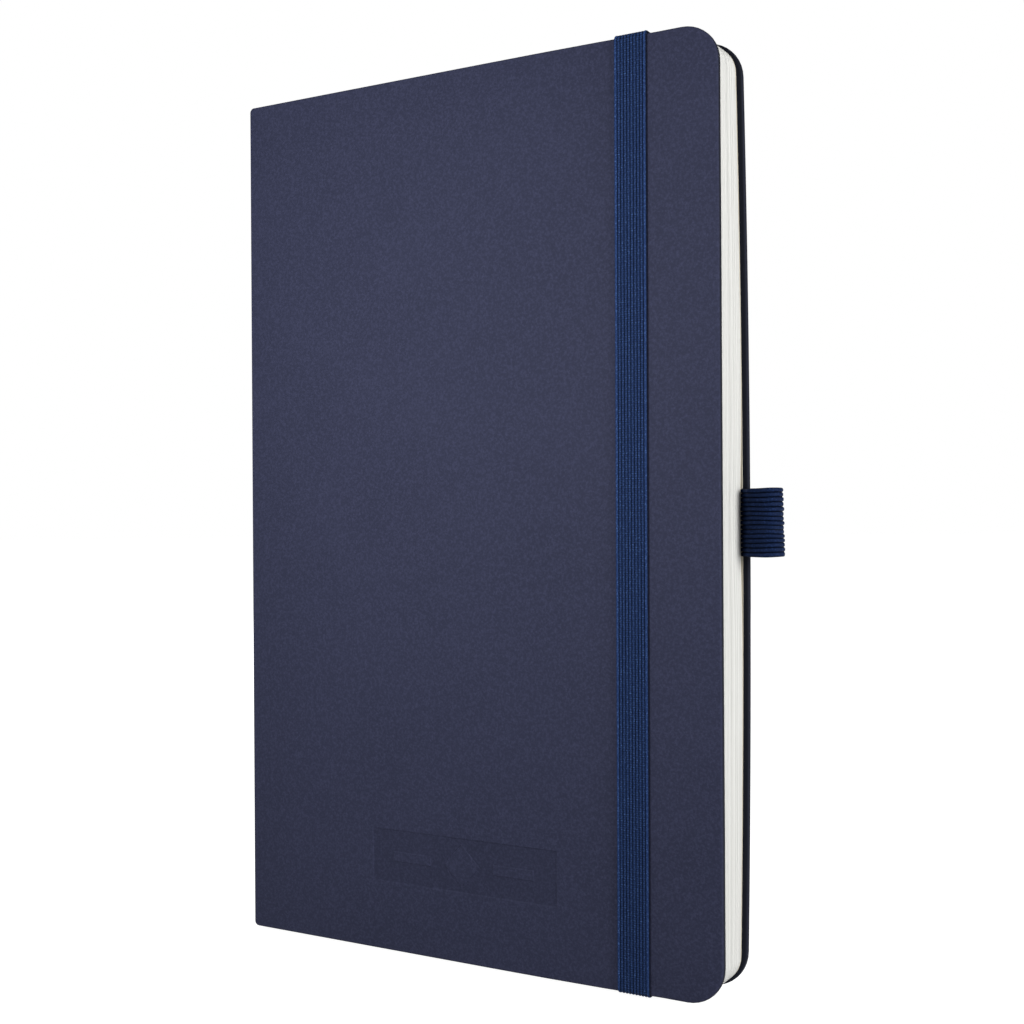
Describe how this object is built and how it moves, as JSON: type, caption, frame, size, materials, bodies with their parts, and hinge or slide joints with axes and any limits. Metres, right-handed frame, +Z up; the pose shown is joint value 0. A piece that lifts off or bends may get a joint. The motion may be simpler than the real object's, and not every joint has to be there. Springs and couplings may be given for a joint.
{
  "type": "pilot logbook",
  "caption": "Pilot logbook with hard navy covers, sewn pages, an elastic closing band over the front near the fore edge and an elastic pen loop.",
  "frame": {"origin": "centre of the whole logbook's footprint, on the surface that its tail edge stands on", "axes": "+X from the spine to the fore edge, +Y from the front cover to the back cover, +Z up from tail to head"},
  "size_m": [0.137, 0.0166, 0.21],
  "materials": {
    "cover_skin": "matt soft-touch polyurethane with a fine grain",
    "board": "grey binder's board",
    "endpaper": "smooth uncoated paper",
    "pages": "trimmed edges of uncoated paper",
    "binding_cloth": "cotton thread and crash cloth",
    "band_webbing": "ribbed woven elastic",
    "loop_webbing": "ribbed woven elastic"
  },
  "bodies": {
    "back_cover": {"back_skin": "cover_skin", "back_board": "board", "back_pastedown": "endpaper", "back_flyleaf": "endpaper", "section_05": "pages", "section_06": "pages", "section_07": "pages", "section_08": "pages", "thread_rear": "binding_cloth", "lining_rear": "binding_cloth", "pen_loop_tail": "loop_webbing", "band_tail_top": "band_webbing", "band_tail_bottom": "band_webbing"},
    "spine": {"spine_skin": "cover_skin", "spine_strip": "board"},
    "front_cover": {"front_skin": "cover_skin", "front_board": "board", "front_pastedown": "endpaper"},
    "front_leaves": {"front_flyleaf": "endpaper", "section_01": "pages", "section_02": "pages", "section_03": "pages", "section_04": "pages", "thread_front": "binding_cloth", "lining_front": "binding_cloth"},
    "elastic_band": {"elastic_band": "band_webbing"},
    "pen_loop": {"pen_loop": "loop_webbing"}
  },
  "joints": [
    {"name": "spine_fold", "type": "hinge", "parent": "back_cover", "child": "spine", "pos_m": [-0.06775, 0.0067, 0.105], "axis": [0, 0, -1], "range_deg": [0, 90]},
    {"name": "front_cover_open", "type": "hinge", "parent": "spine", "child": "front_cover", "pos_m": [-0.06775, -0.0067, 0.105], "axis": [0, 0, -1], "range_deg": [0, 90]},
    {"name": "leaves_turn", "type": "hinge", "parent": "back_cover", "child": "front_leaves", "pos_m": [-0.0671, 0, 0.105], "axis": [0, 0, -1], "range_deg": [0, 180]},
    {"name": "band_off", "type": "slide", "parent": "back_cover", "child": "elastic_band", "axis": [1, 0, 0], "range_m": [0, 0.026], "deforming": ["elastic_band"]},
    {"name": "pen_loop_flex", "type": "hinge", "parent": "back_cover", "child": "pen_loop", "pos_m": [0.06045, 0.0064, 0.1032], "axis": [0, 0, 1], "range_deg": [-20, 20], "stiffness_Nm_per_rad": 0.002}
  ],
  "couplings": [
    {"joint": "spine_fold", "follows": "front_cover_open", "ratio": 1},
    {"joint": "leaves_turn", "follows": "front_cover_open", "ratio": 2}
  ]
}
